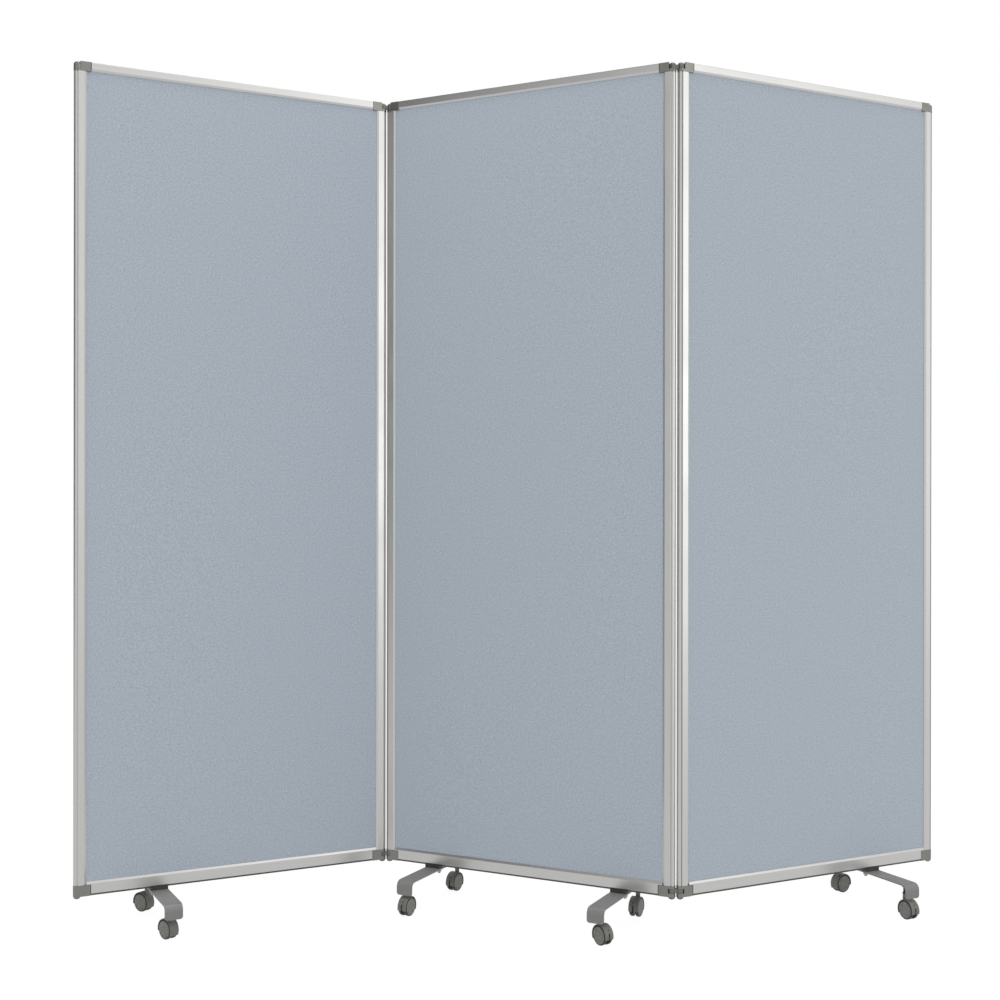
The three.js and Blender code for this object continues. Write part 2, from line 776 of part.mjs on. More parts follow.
function buildPanel({ name, x, turn, hinged }) {
  const group = new THREE.Group();
  group.position.x = x;
  group.rotation.z = turn;
  group.add(meshOf(`${name}_fabric_board`, boardSolid(), finishes.fabric));
  group.add(meshOf(`${name}_rail_top`, topRailSolid(), finishes.aluminium));
  group.add(meshOf(`${name}_rail_bottom`, bottomRailSolid(), finishes.aluminium));
  for (const side of ["left", "right"]) {
    const edge = new THREE.Group();
    edge.position.x = side === "left" ? -panelWidth / 2 : panelWidth / 2;
    edge.rotation.z = side === "left" ? 0 : halfTurn;
    edge.add(meshOf(`${name}_stile_${side}`, stileSolid(), finishes.aluminium));
    for (const level of ["top", "bottom"]) {
      const solid = cornerSolid(level === "top", hinged[side]);
      edge.add(meshOf(`${name}_corner_${level}_${side}`, solid, finishes.corner));
    }
    group.add(edge);
  }
  return group;
}

function buildHinge(name, side) {
  const group = new THREE.Group();
  group.position.x = side * (middleHalf.x + hingeSpacing / 2);
  group.position.y = side * middleHalf.y;
  group.add(meshOf(`${name}_hinge_link_top`, linkSolid(true), finishes.link));
  group.add(meshOf(`${name}_hinge_link_bottom`, linkSolid(false), finishes.link));
  return group;
}

function buildCaster(name, heading, panelTurn) {
  const group = new THREE.Group();
  group.rotation.z = radians(heading) - Math.PI / 2 - panelTurn;
  group.add(meshOf(`${name}_hood`, hoodSolid(), finishes.hood));
  const wheels = meshOf(`${name}_wheels`, wheelsSolid(), finishes.wheel);
  wheels.position.set(casterTrail, 0, wheelRadius);
  group.add(wheels);
  return group;
}

function buildFoot({ name, side, inset }, panelTurn) {
  const group = new THREE.Group();
  group.position.x = side * (panelWidth / 2 - inset);
  group.add(meshOf(`${name}_foot_strap`, footArmSolid(), finishes.strap));
  group.add(meshOf(`${name}_foot_saddle`, saddleSolid(), finishes.corner));
  group.add(meshOf(`${name}_foot_bolts`, footBoltsSolid(), finishes.bolt));
  for (const end of ["front", "back"]) {
    const heading = casterHeadings[name][end];
    const caster = buildCaster(`${name}_${end}_caster`, heading, panelTurn);
    caster.position.y = end === "front" ? -casterHalfSpan : casterHalfSpan;
    group.add(caster);
  }
  return group;
}

const screen = new THREE.Group();
for (const panel of panels) {
  const group = buildPanel(panel);
  for (const foot of feet.filter((each) => each.panel === panel.name)) {
    group.add(buildFoot(foot, panel.turn));
  }
  screen.add(group);
}
screen.add(buildHinge("left", -1), buildHinge("right", 1));

// The origin is the middle of the base of the whole screen.
screen.updateMatrixWorld(true);
const bounds = new THREE.Box3().setFromObject(screen, true);
const middle = bounds.getCenter(new THREE.Vector3());
screen.position.set(-middle.x, -middle.y, -bounds.min.z);

const part = new THREE.Group();
part.add(screen);

export default part;
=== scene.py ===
"""Ward privacy screen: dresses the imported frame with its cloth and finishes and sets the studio."""

import json
import math

import bmesh
import bpy
from mathutils import Matrix, Vector


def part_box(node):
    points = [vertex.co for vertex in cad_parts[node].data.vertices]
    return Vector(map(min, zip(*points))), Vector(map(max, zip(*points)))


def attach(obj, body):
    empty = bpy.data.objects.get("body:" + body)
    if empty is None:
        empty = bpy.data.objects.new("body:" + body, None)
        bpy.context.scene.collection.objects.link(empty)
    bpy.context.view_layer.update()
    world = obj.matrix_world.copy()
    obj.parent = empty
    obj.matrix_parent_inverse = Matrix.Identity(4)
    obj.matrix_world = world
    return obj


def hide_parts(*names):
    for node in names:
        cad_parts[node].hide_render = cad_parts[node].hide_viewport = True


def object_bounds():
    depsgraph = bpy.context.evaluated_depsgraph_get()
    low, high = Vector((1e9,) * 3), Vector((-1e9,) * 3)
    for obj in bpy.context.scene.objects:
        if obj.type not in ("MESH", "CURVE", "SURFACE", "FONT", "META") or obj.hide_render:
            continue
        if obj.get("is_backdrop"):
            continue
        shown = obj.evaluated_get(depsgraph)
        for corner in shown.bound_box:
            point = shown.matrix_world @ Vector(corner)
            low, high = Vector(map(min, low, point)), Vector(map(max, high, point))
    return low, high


bl_info = {
    "name": "Ward Privacy Screen",
    "version": (1, 0, 0),
    "blender": (4, 5, 0),
    "location": "View3D > Sidebar > Screen",
    "description": "Dresses a folding ward privacy screen on casters and sets its studio",
    "category": "Object",
}

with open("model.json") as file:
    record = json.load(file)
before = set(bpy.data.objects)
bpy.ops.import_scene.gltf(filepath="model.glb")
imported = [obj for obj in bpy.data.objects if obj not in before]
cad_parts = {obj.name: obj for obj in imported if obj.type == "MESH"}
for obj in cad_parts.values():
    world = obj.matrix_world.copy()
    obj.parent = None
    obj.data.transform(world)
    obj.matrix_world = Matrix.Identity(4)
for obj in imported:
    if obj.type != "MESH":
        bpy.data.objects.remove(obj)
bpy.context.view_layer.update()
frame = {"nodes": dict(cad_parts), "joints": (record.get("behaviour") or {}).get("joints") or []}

MM = 0.001
joint_places = {joint["name"]: Vector(joint["pos_m"]) for joint in frame["joints"]}

# The fold, read from the places of the hinge pins
left_pin = joint_places["left_hinge_inner_pin"]
right_pin = joint_places["right_hinge_inner_pin"]
middle_turn = math.atan2(right_pin.y - left_pin.y, right_pin.x - left_pin.x)
panel_turns = {"left": -middle_turn, "middle": middle_turn, "right": -middle_turn}

feet = ("left", "middle_left", "middle_right", "right")
sides = ("left", "right")
levels = ("top", "bottom")

# Edges sharper than this stay sharp, in degrees
turned_crease = 40.0
hood_crease = 38.0

# How many soft patches the finishes have to a metre
haze_per_metre = 9.0
dust_per_metre = 45.0
wear_per_metre = 60.0
scuffs_per_metre = 180.0
bloom_per_metre = 300.0


class ScreenSizes(bpy.types.PropertyGroup):
    """Sizes of the cloth and of the patterns in the finishes."""

    cloth_lift: bpy.props.FloatProperty(
        name="Cloth lift",
        description="Height of the cloth above the face of its board, in mm",
        default=0.15,
        min=0.05,
        max=1.0,
    )
    cloth_ease: bpy.props.FloatProperty(
        name="Cloth ease",
        description="How far the cloth stands off the board in its loosest places, in mm",
        default=0.5,
        min=0.0,
        max=2.0,
    )
    thread_spacing: bpy.props.FloatProperty(
        name="Thread spacing",
        description="Distance between the threads of the cloth as drawn, in mm",
        default=2.6,
        min=0.4,
        max=6.0,
    )
    fleck_length: bpy.props.FloatProperty(
        name="Fleck length",
        description="Length of the light and dark flecks in the yarn, in mm",
        default=2.6,
        min=1.0,
        max=30.0,
    )
    die_line_spacing: bpy.props.FloatProperty(
        name="Die line spacing",
        description="Distance between the faint lines along the extrusions, in mm",
        default=1.6,
        min=0.2,
        max=5.0,
    )
    # How high the painted shade reaches up the lower lip of a bottom rail.
    painted_shade_height: bpy.props.FloatProperty(
        name="Bead drop",
        description="Height of the black bead under a bottom rail, in mm",
        default=3.9,
        min=0.0,
        max=4.0,
    )
    plastic_grain: bpy.props.FloatProperty(
        name="Plastic grain",
        description="Grain width of the moulded plastic, in mm",
        default=0.8,
        min=0.1,
        max=4.0,
    )
    paint_peel: bpy.props.FloatProperty(
        name="Paint texture",
        description="Width of the ripples in the powder coating, in mm",
        default=1.8,
        min=0.2,
        max=6.0,
    )


class CasterSizes(bpy.types.PropertyGroup):
    """Sizes of a twin-wheel caster, in mm."""

    wheel_radius: bpy.props.FloatProperty(
        name="Wheel radius", description="Outer radius of a wheel", default=20.0
    )
    wheel_inner: bpy.props.FloatProperty(
        name="Wheel inner face", description="From the middle of the caster", default=3.9
    )
    wheel_outer: bpy.props.FloatProperty(
        name="Wheel outer face", description="From the middle of the caster", default=10.3
    )
    wheel_rounding: bpy.props.FloatProperty(
        name="Wheel rounding", description="Radius at the outer edge of a wheel", default=1.8
    )
    tread_width: bpy.props.FloatProperty(
        name="Tread width", description="Black ring seen round the cover of a wheel", default=2.6
    )
    cover_rise: bpy.props.FloatProperty(
        name="Cover rise", description="Middle of a wheel above its rim", default=0.2
    )
    axle_radius: bpy.props.FloatProperty(
        name="Axle radius", description="Axle between the wheels", default=3.0
    )
    hood_radius: bpy.props.FloatProperty(
        name="Hood radius", description="Outer radius of the hood", default=22.4
    )
    hood_wall: bpy.props.FloatProperty(
        name="Hood wall", description="Thickness of the hood", default=1.7
    )
    hood_half_width: bpy.props.FloatProperty(
        name="Hood half width", description="Half the width of the hood", default=10.4
    )
    hood_rounding: bpy.props.FloatProperty(
        name="Hood rounding", description="Radius along the edges of the hood", default=1.1
    )
    web_half: bpy.props.FloatProperty(
        name="Web half thickness", description="Half the plate between the wheels", default=3.4
    )
    web_drop: bpy.props.FloatProperty(
        name="Web drop", description="Lowest point of the plate below the axle", default=10.5
    )
    web_foot: bpy.props.FloatProperty(
        name="Web foot", description="Half the length of the plate's lower edge", default=8.0
    )
    slot_half: bpy.props.FloatProperty(
        name="Slot half width", description="Half the slot in the trailing side", default=1.6
    )
    slot_below: bpy.props.FloatProperty(
        name="Slot below axle", description="Lower end of the slot below the axle", default=7.0
    )
    slot_above: bpy.props.FloatProperty(
        name="Slot above axle", description="Upper end of the slot above the axle", default=8.0
    )
    cut_depth: bpy.props.FloatProperty(
        name="Depth of cuts", description="Of the slot and hole in the plate", default=6.0
    )
    hole_radius: bpy.props.FloatProperty(
        name="Hole radius", description="Round hole above the slot", default=1.4
    )
    boss_radius: bpy.props.FloatProperty(
        name="Boss radius", description="Collar on the hood under the stem", default=5.0
    )
    boss_rise: bpy.props.FloatProperty(
        name="Boss rise", description="Top of the boss above the top of the hood", default=9.6
    )
    stem_radius: bpy.props.FloatProperty(
        name="Stem radius", description="Threaded stem", default=4.0
    )
    stem_top: bpy.props.FloatProperty(
        name="Stem top", description="Upper end of the stem above the floor", default=72.5
    )
    ring_radius: bpy.props.FloatProperty(
        name="Ring radius", description="Ring on the stem above the boss", default=5.8
    )
    ring_gap: bpy.props.FloatProperty(
        name="Ring gap", description="Between the boss and the ring", default=0.8
    )
    ring_height: bpy.props.FloatProperty(
        name="Ring height", description="Height of the ring on the stem", default=1.6
    )
    thread_pitch: bpy.props.FloatProperty(
        name="Thread pitch", description="Distance between the turns of the thread", default=1.25
    )
    trailing_drop: bpy.props.FloatProperty(
        name="Trailing side",
        description="How far the hood runs on below the axle on its slotted side",
        default=math.radians(14.0),
        unit="ROTATION",
    )
    stem_side_drop: bpy.props.FloatProperty(
        name="Stem side",
        description="How far the hood runs on below the axle on the side of the stem",
        default=math.radians(28.0),
        unit="ROTATION",
    )
    hole_angle: bpy.props.FloatProperty(
        name="Hole angle",
        description="Height of the round hole above the axle, as an angle",
        default=math.radians(37.0),
        unit="ROTATION",
    )


class ScreenColours(bpy.types.PropertyGroup):
    """Colours as sRGB hex values."""

    cloth: bpy.props.StringProperty(
        name="Cloth", description="Main yarn of the cloth", default="#B7C0CA"
    )
    cloth_shade: bpy.props.StringProperty(
        name="Cloth shade", description="Dark flecks and valleys of the cloth", default="#98A1AB"
    )
    aluminium: bpy.props.StringProperty(
        name="Aluminium", description="Anodised frame", default="#CECECC"
    )
    # This colour is painted shade on the lower lip of each bottom rail, under its overhanging face.
    bead_shade: bpy.props.StringProperty(
        name="Bead", description="Black strip under the bottom rails", default="#4A4A48"
    )
    corner: bpy.props.StringProperty(
        name="Corners", description="Moulded corners with metal flake", default="#84847F"
    )
    link: bpy.props.StringProperty(
        name="Hinge links", description="Moulded hinge links", default="#747471"
    )
    saddle: bpy.props.StringProperty(
        name="Saddles", description="Moulded saddles on the straps", default="#353533"
    )
    strap: bpy.props.StringProperty(
        name="Foot straps", description="Powder coated straps", default="#7A7977"
    )
    bolt: bpy.props.StringProperty(
        name="Bolts", description="Zinc plated bolts and nuts", default="#A4A5A4"
    )
    stem: bpy.props.StringProperty(
        name="Caster stems", description="Blackened steel stems", default="#4C4C4A"
    )
    hood: bpy.props.StringProperty(
        name="Caster hoods", description="Moulded caster hoods", default="#686862"
    )
    wheel: bpy.props.StringProperty(
        name="Wheel covers", description="Moulded covers of the wheels", default="#7E7E77"
    )
    # This black is the treads' own colour, and also painted shade on the inner faces between the
    # wheels.
    tread: bpy.props.StringProperty(
        name="Treads", description="Moulded treads of the wheels", default="#20201F"
    )
    floor: bpy.props.StringProperty(
        name="Floor", description="Pale studio floor", default="#D8D8D8"
    )


class ScreenStudio(bpy.types.PropertyGroup):
    """Light and camera."""

    key_power: bpy.props.FloatProperty(
        name="Key light", description="Of the tall light on the right", default=5.0, unit="POWER"
    )
    key_place: bpy.props.FloatVectorProperty(
        name="Key light place",
        description="Middle of its front",
        default=(3.6, -2.6, 1.4),
        subtype="TRANSLATION",
    )
    key_width: bpy.props.FloatProperty(
        name="Key light width", description="Across its front", default=1.5, unit="LENGTH"
    )
    key_height: bpy.props.FloatProperty(
        name="Key light height", description="Up its front", default=2.6, unit="LENGTH"
    )
    top_power: bpy.props.FloatProperty(
        name="Top light", description="Of the overhead light", default=120.0, unit="POWER"
    )
    top_place: bpy.props.FloatVectorProperty(
        name="Top light place",
        description="Middle of its front",
        default=(0.1, -0.6, 6.5),
        subtype="TRANSLATION",
    )
    top_width: bpy.props.FloatProperty(
        name="Top light width", description="Of its square front", default=2.0, unit="LENGTH"
    )
    fill_level: bpy.props.FloatProperty(
        name="Fill", description="Even light from all round", default=0.95, min=0.0, max=2.0
    )
    mirror_level: bpy.props.FloatProperty(
        name="Walls",
        description="How bright the walls of the studio look in metal",
        default=0.93,
        min=0.0,
        max=2.0,
    )
    mirror_ends: bpy.props.FloatProperty(
        name="Ceiling",
        description="How bright the ceiling looks in metal, as a share of the walls",
        default=0.85,
        min=0.0,
        max=1.0,
    )
    mirror_floor: bpy.props.FloatProperty(
        name="Floor in metal",
        description="How bright the floor looks in metal",
        default=0.84,
        min=0.0,
        max=1.0,
    )
    dark_card: bpy.props.FloatProperty(
        name="Dark card",
        description="How bright the dark card on the left looks in metal",
        default=0.02,
        min=0.0,
        max=1.0,
    )
    dark_heading: bpy.props.FloatProperty(
        name="Dark card heading",
        description="Rightwards from the camera's side of the room",
        default=math.radians(-75.0),
        unit="ROTATION",
    )
    dark_core: bpy.props.FloatProperty(
        name="Dark card core",
        description="Half angle over which the card is fully dark",
        default=math.radians(18.0),
        unit="ROTATION",
    )
    dark_reach: bpy.props.FloatProperty(
        name="Dark card reach",
        description="Half angle at which the card ends",
        default=math.radians(24.0),
        unit="ROTATION",
    )
    bright_card: bpy.props.FloatProperty(
        name="Bright card",
        description="How bright the bright card on the right looks in metal",
        default=1.75,
        min=0.0,
        max=4.0,
    )
    bright_heading: bpy.props.FloatProperty(
        name="Bright card heading",
        description="Rightwards from the camera's side of the room",
        default=math.radians(56.0),
        unit="ROTATION",
    )
    bright_core: bpy.props.FloatProperty(
        name="Bright card core",
        description="Half angle over which the card is fully bright",
        default=math.radians(9.0),
        unit="ROTATION",
    )
    bright_reach: bpy.props.FloatProperty(
        name="Bright card reach",
        description="Half angle at which the card ends",
        default=math.radians(14.5),
        unit="ROTATION",
    )
    camera_distance: bpy.props.FloatProperty(
        name="Camera distance", description="To the middle panel", default=3.0351, unit="LENGTH"
    )
    camera_side: bpy.props.FloatProperty(
        name="Camera side", description="Right of the middle", default=-0.0602, unit="LENGTH"
    )
    camera_height: bpy.props.FloatProperty(
        name="Camera height", description="Above the floor", default=0.9013, unit="LENGTH"
    )
    camera_lens: bpy.props.FloatProperty(
        name="Camera lens", description="Focal length on a 36 mm sensor, in mm", default=50.4
    )
    camera_pitch: bpy.props.FloatProperty(
        name="Camera pitch", description="Upwards from level", default=-0.0009, unit="ROTATION"
    )
    camera_roll: bpy.props.FloatProperty(
        name="Camera roll", description="About the view axis", default=-0.0011, unit="ROTATION"
    )
    camera_yaw: bpy.props.FloatProperty(
        name="Camera yaw", description="Leftwards from square", default=-0.0026, unit="ROTATION"
    )


def linear(hex_colour):
    """Turns an sRGB hex value into linear light with full opacity."""
    parts = [int(hex_colour[i : i + 2], 16) / 255 for i in (1, 3, 5)]
    return [c / 12.92 if c <= 0.04045 else ((c + 0.055) / 1.055) ** 2.4 for c in parts] + [1.0]


def toned(colour, share, lift=0.0):
    """A linear colour made darker or paler."""
    return [min(1.0, part * share + lift) for part in colour[:3]] + [1.0]


def add_node(tree, kind, links=None, **settings):
    """Adds a node with its settings, and links or sets its inputs by name or place."""
    node = tree.nodes.new(kind)
    for name, value in settings.items():
        setattr(node, name, value)
    for name, value in (links or {}).items():
        socket = node.inputs[name]
        if isinstance(value, bpy.types.NodeSocket):
            tree.links.new(value, socket)
        else:
            socket.default_value = value
    return node


def object_place(tree):
    """Where a point lies on its own object."""
    return add_node(tree, "ShaderNodeTexCoord").outputs["Object"]


def maths(tree, operation, *values):
    return add_node(tree, "ShaderNodeMath", dict(enumerate(values)), operation=operation).outputs[0]


def vector_maths(tree, operation, *values):
    made = add_node(tree, "ShaderNodeVectorMath", dict(enumerate(values)), operation=operation)
    return made.outputs["Value" if operation in ("LENGTH", "DOT_PRODUCT") else "Vector"]


def moved(tree, place, how, value):
    """A place turned or stretched before a pattern is laid on it."""
    return add_node(tree, "ShaderNodeMapping", {"Vector": place, how: value}).outputs[0]


def noise(tree, place, scale, detail, roughness=0.5):
    """Soft patches from 0 to 1, as many to a metre as the scale says."""
    links = {"Vector": place, "Scale": scale, "Detail": detail, "Roughness": roughness}
    return add_node(tree, "ShaderNodeTexNoise", links).outputs["Fac"]


def ranged(tree, value, low, high, to_low=0.0, to_high=1.0, **settings):
    """Stretches a value's range onto another and holds it between the ends."""
    links = {"Value": value, "From Min": low, "From Max": high, "To Min": to_low, "To Max": to_high}
    return add_node(tree, "ShaderNodeMapRange", links, **settings).outputs[0]


def mixed(tree, share, first, second):
    return add_node(tree, "ShaderNodeMix", {0: share, 2: first, 3: second}).outputs[0]


def mixed_colour(tree, share, first, second):
    links = {0: share, 6: first, 7: second}
    return add_node(tree, "ShaderNodeMix", links, data_type="RGBA").outputs[2]


def relief(tree, height, strength, depth):
    """A fine relief, with its depth in mm."""
    links = {"Height": height, "Strength": strength, "Distance": depth * MM}
    return add_node(tree, "ShaderNodeBump", links).outputs[0]


def new_material(name):
    material = bpy.data.materials.new(name)
    material.use_nodes = True
    tree = material.node_tree
    tree.nodes.clear()
    return material, tree


def finish_material(tree, sockets):
    shader = add_node(tree, "ShaderNodeBsdfPrincipled", sockets)
    add_node(tree, "ShaderNodeOutputMaterial", {"Surface": shader.outputs["BSDF"]})


def sizes():
    return bpy.context.scene.screen_sizes


def colours():
    return bpy.context.scene.screen_colours


def woven_polyester():
    """Plain woven polyester: matt, with a soft bloom at a slant and flecks in the yarn."""
    material, tree = new_material("woven polyester")
    place = object_place(tree)
    # The real threads are 0.6 mm apart and too fine to show, so they are drawn coarser
    per_metre = 1 / (sizes().thread_spacing * MM)
    threads = []
    for axis in ("X", "Z"):
        bands = {
            "Vector": place,
            # At a scale of 1 a band of this texture is pi / 10 wide
            "Scale": per_metre * math.pi / 10,
            "Distortion": 1.2,
            "Detail": 1.0,
            "Detail Scale": 2.0,
        }
        made = add_node(
            tree, "ShaderNodeTexWave", bands, wave_type="BANDS", bands_direction=axis
        )
        threads.append(made.outputs["Fac"])
    weave = maths(tree, "MULTIPLY", *threads)
    per_fleck = 1 / (sizes().fleck_length * MM)
    flecks = [
        noise(tree, moved(tree, place, "Scale", stretch), per_fleck, 2.0)
        for stretch in ((0.7, 1.0, 1.0), (1.0, 1.0, 0.7))
    ]
    fleck = maths(tree, "ADD", *flecks)
    yarn_share = 0.15
    blend = mixed(tree, yarn_share, ranged(tree, fleck, 0.74, 1.26), weave)
    tone = mixed_colour(tree, blend, linear(colours().cloth), linear(colours().cloth_shade))
    finish_material(
        tree,
        {
            "Base Color": tone,
            "Roughness": 0.92,
            "Sheen Weight": 0.25,
            "Sheen Roughness": 0.5,
            "Specular IOR Level": 0.25,
            "Normal": relief(tree, maths(tree, "ADD", weave, fleck), 0.35, 0.3),
        },
    )
    return material


def anodised_aluminium(name, along, turn, painted_shade_top=None):
    """Satin anodised aluminium extrusion: a soft broad gloss with faint die lines along it.

    Low on a bottom rail it is black and not metal: painted shade on the lower lip, under the rail's
    overhanging face.
    """
    material, tree = new_material(name)
    place = object_place(tree)
    straight = moved(tree, place, "Rotation", (0.0, 0.0, -turn))
    # The lines run on 250 times as far as they are apart
    run = 0.004
    stretch = (run, 1.0, 1.0) if along == "rail" else (1.0, 1.0, run)
    drawn = moved(tree, straight, "Scale", stretch)
    lines = noise(tree, drawn, 1 / (sizes().die_line_spacing * MM), 3.0, 0.6)
    haze = noise(tree, straight, haze_per_metre, 2.0)
    base = linear(colours().aluminium)
    tone = mixed_colour(tree, lines, base, toned(base, 0.93))
    metallic = 1.0
    # Painted shade: the lower lip of a bottom rail is coloured black and not metal, for the shade
    # under the rail's face.
    if painted_shade_top is not None:
        height = add_node(tree, "ShaderNodeSeparateXYZ", {0: place}).outputs["Z"]
        metallic = maths(tree, "GREATER_THAN", height, painted_shade_top)
        tone = mixed_colour(tree, metallic, linear(colours().bead_shade), tone)
    finish_material(
        tree,
        {
            "Base Color": tone,
            "Metallic": metallic,
            "Roughness": ranged(tree, haze, 0.3, 0.7, 0.27, 0.33),
            "Normal": relief(tree, lines, 0.12, 0.05),
        },
    )
    return material


def moulded_plastic(name, colour, roughness, flake=0.0):
    """Injection moulded plastic: a fine even grain, slightly mottled where hands have been.

    Metal flake in it makes it mirror the studio softly, as a metallic grey does.
    """
    material, tree = new_material(name)
    place = object_place(tree)
    grain = noise(tree, place, 1 / (sizes().plastic_grain * MM), 2.0)
    wear = noise(tree, place, wear_per_metre, 3.0)
    base = linear(colour)
    finish_material(
        tree,
        {
            "Base Color": mixed_colour(tree, wear, base, toned(base, 1.12, 0.004)),
            "Metallic": flake,
            "Roughness": ranged(tree, wear, 0.3, 0.7, roughness - 0.05, roughness + 0.05),
            "IOR": 1.5,
            "Normal": relief(tree, grain, 0.2, 0.08),
        },
    )
    return material


def wheel_plastic(size):
    """Moulded nylon wheel: a grey cover within a black tread that draws a dark ring round it, with
    painted shade in the tread's black on the inner faces and the axle between the wheels.
    """
    material, tree = new_material("moulded nylon wheel")
    place = object_place(tree)
    across = vector_maths(tree, "MULTIPLY", place, (1.0, 0.0, 1.0))
    radius = vector_maths(tree, "LENGTH", across)
    tread = maths(tree, "GREATER_THAN", radius, (size.wheel_radius - size.tread_width) * MM)
    depth = add_node(tree, "ShaderNodeSeparateXYZ", {0: place}).outputs["Y"]
    # Painted shade: the inner faces of the wheels and the axle between them take the tread's black,
    # for the shade between the wheels.
    shade_reach = (size.wheel_inner + size.tread_width) * MM
    between_wheels_shade = maths(tree, "LESS_THAN", maths(tree, "ABSOLUTE", depth), shade_reach)
    dark = maths(tree, "MAXIMUM", tread, between_wheels_shade)
    scuff = noise(tree, place, scuffs_per_metre, 4.0)
    base = linear(colours().wheel)
    cover = mixed_colour(tree, ranged(tree, scuff, 0.35, 0.65), base, toned(base, 0.6))
    finish_material(
        tree,
        {
            "Base Color": mixed_colour(tree, dark, cover, linear(colours().tread)),
            "Roughness": 0.42,
            "IOR": 1.5,
            "Normal": relief(tree, scuff, 0.3, 0.2),
        },
    )
    return material


def powder_coat(name, colour):
    """Powder coated steel: smooth paint with a faint orange peel."""
    material, tree = new_material(name)
    place = object_place(tree)
    peel = noise(tree, place, 1 / (sizes().paint_peel * MM), 1.0)
    dust = noise(tree, place, dust_per_metre, 3.0)
    base = linear(colour)
    finish_material(
        tree,
        {
            "Base Color": mixed_colour(tree, dust, base, toned(base, 1.08)),
            "Roughness": 0.42,
            "IOR": 1.5,
            "Normal": relief(tree, peel, 0.25, 0.06),
        },
    )
    return material


def plated_steel(name, colour):
    """Plated or blackened steel: a metal with a slightly uneven gloss."""
    material, tree = new_material(name)
    bloom = noise(tree, object_place(tree), bloom_per_metre, 2.0)
    base = linear(colour)
    finish_material(
        tree,
        {
            "Base Color": mixed_colour(tree, bloom, base, toned(base, 0.85)),
            "Metallic": 1.0,
            "Roughness": ranged(tree, bloom, 0.3, 0.7, 0.28, 0.42),
        },
    )
    return material


def give(node, material):
    """Puts a finish on every slot of a node of the frame."""
    shown = frame["nodes"][node]
    if not shown.data.materials:
        shown.data.materials.append(material)
    for slot in shown.material_slots:
        slot.material = material


def link_new(name, vertices, faces, place=None):
    mesh = bpy.data.meshes.new(name)
    mesh.from_pydata(vertices, [], faces)
    mesh.update()
    made = bpy.data.objects.new(name, mesh)
    if place is not None:
        made.matrix_world = place
    bpy.context.scene.collection.objects.link(made)
    return made


def panel_place(panel):
    """The middle of a panel's board, turned with the panel."""
    low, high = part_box(f"{panel}_fabric_board")
    centre = (Vector(low) + Vector(high)) / 2
    return Matrix.Translation(centre) @ Matrix.Rotation(panel_turns[panel], 4, "Z")


def board_size(panel):
    """Width, thickness and height of a board that stands at an angle to the axes."""
    low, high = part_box(f"{panel}_fabric_board")
    across, deep, tall = (Vector(high) - Vector(low))[:]
    c, s = abs(math.cos(panel_turns[panel])), abs(math.sin(panel_turns[panel]))
    width = (across * c - deep * s) / (c * c - s * s)
    return width, (across - width * c) / s, tall


class SCREEN_OT_cloth(bpy.types.Operator):
    """Stretches cloth over both faces of the three boards"""

    bl_idname = "screen.cloth"
    bl_label = "Cloth"

    columns, rows = 36, 96
    # The cloth is flat this far in from its edge, and reaches its ease over the next stretch, in mm
    flat_rim, easing = 10.0, 90.0
    # Where the two slow waves of the ease begin on each panel, in radians
    phases = {"left": 0.4, "middle": 1.9, "right": 3.1}

    def execute(self, context):
        cloth = woven_polyester()
        board = moulded_plastic("fibreboard core", colours().cloth_shade, 0.9)
        for panel in panel_turns:
            width, thickness, height = board_size(panel)
            give(f"{panel}_fabric_board", board)
            for face, side in (("front", -1), ("back", 1)):
                name = f"{panel}_cloth_{face}"
                made = self.stretched(name, panel, side, width, thickness, height)
                made.data.materials.append(cloth)
                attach(made, f"{panel}_panel")
        return {"FINISHED"}

    def stretched(self, name, panel, side, width, thickness, height):
        """A cloth that lies flat near the frame and eases off the board between."""
        vertices = []
        for row in range(self.rows + 1):
            v = row / self.rows
            for column in range(self.columns + 1):
                u = column / self.columns
                from_edge = min(u * width, (1 - u) * width, v * height, (1 - v) * height)
                lift = self.lift(u, v, from_edge, self.phases[panel] + side)
                depth = side * (thickness / 2 + lift * MM)
                vertices.append(((u - 0.5) * width, depth, (v - 0.5) * height))
        stride = self.columns + 1
        faces = []
        for row in range(self.rows):
            for column in range(self.columns):
                a = row * stride + column
                corners = (a, a + 1, a + stride + 1, a + stride)
                faces.append(corners if side < 0 else corners[::-1])
        made = link_new(name, vertices, faces, panel_place(panel))
        for polygon in made.data.polygons:
            polygon.use_smooth = True
        return made

    def lift(self, u, v, from_edge, phase):
        """Height above the board in mm, from two slow waves that fade out at the edge."""
        loose = min(1.0, max(0.0, (from_edge - self.flat_rim * MM) / (self.easing * MM)))
        loose = loose * loose * (3 - 2 * loose)
        sway = 0.5 + 0.25 * math.sin(5.1 * u + 3.3 * v + phase)
        sway += 0.25 * math.sin(9.7 * v - 4.2 * u + 2 * phase)
        return sizes().cloth_lift + sizes().cloth_ease * loose * sway


class SCREEN_OT_frames(bpy.types.Operator):
    """Finishes the stiles and rails of the three frames"""

    bl_idname = "screen.frames"
    bl_label = "Frames"

    def execute(self, context):
        for panel, turn in panel_turns.items():
            name = f"anodised aluminium {panel}"
            stile = anodised_aluminium(f"{name} stiles", "stile", turn)
            rail = anodised_aluminium(f"{name} top rail", "rail", turn)
            bottom = frame["nodes"][f"{panel}_rail_bottom"]
            # The bottom rail is painted black up to this height, as painted shade under its face.
            painted_shade_top = min(v.co.z for v in bottom.data.vertices) + sizes().painted_shade_height * MM
            beaded = anodised_aluminium(f"{name} bottom rail", "rail", turn, painted_shade_top)
            for side in sides:
                give(f"{panel}_stile_{side}", stile)
            give(f"{panel}_rail_top", rail)
            give(f"{panel}_rail_bottom", beaded)
        return {"FINISHED"}


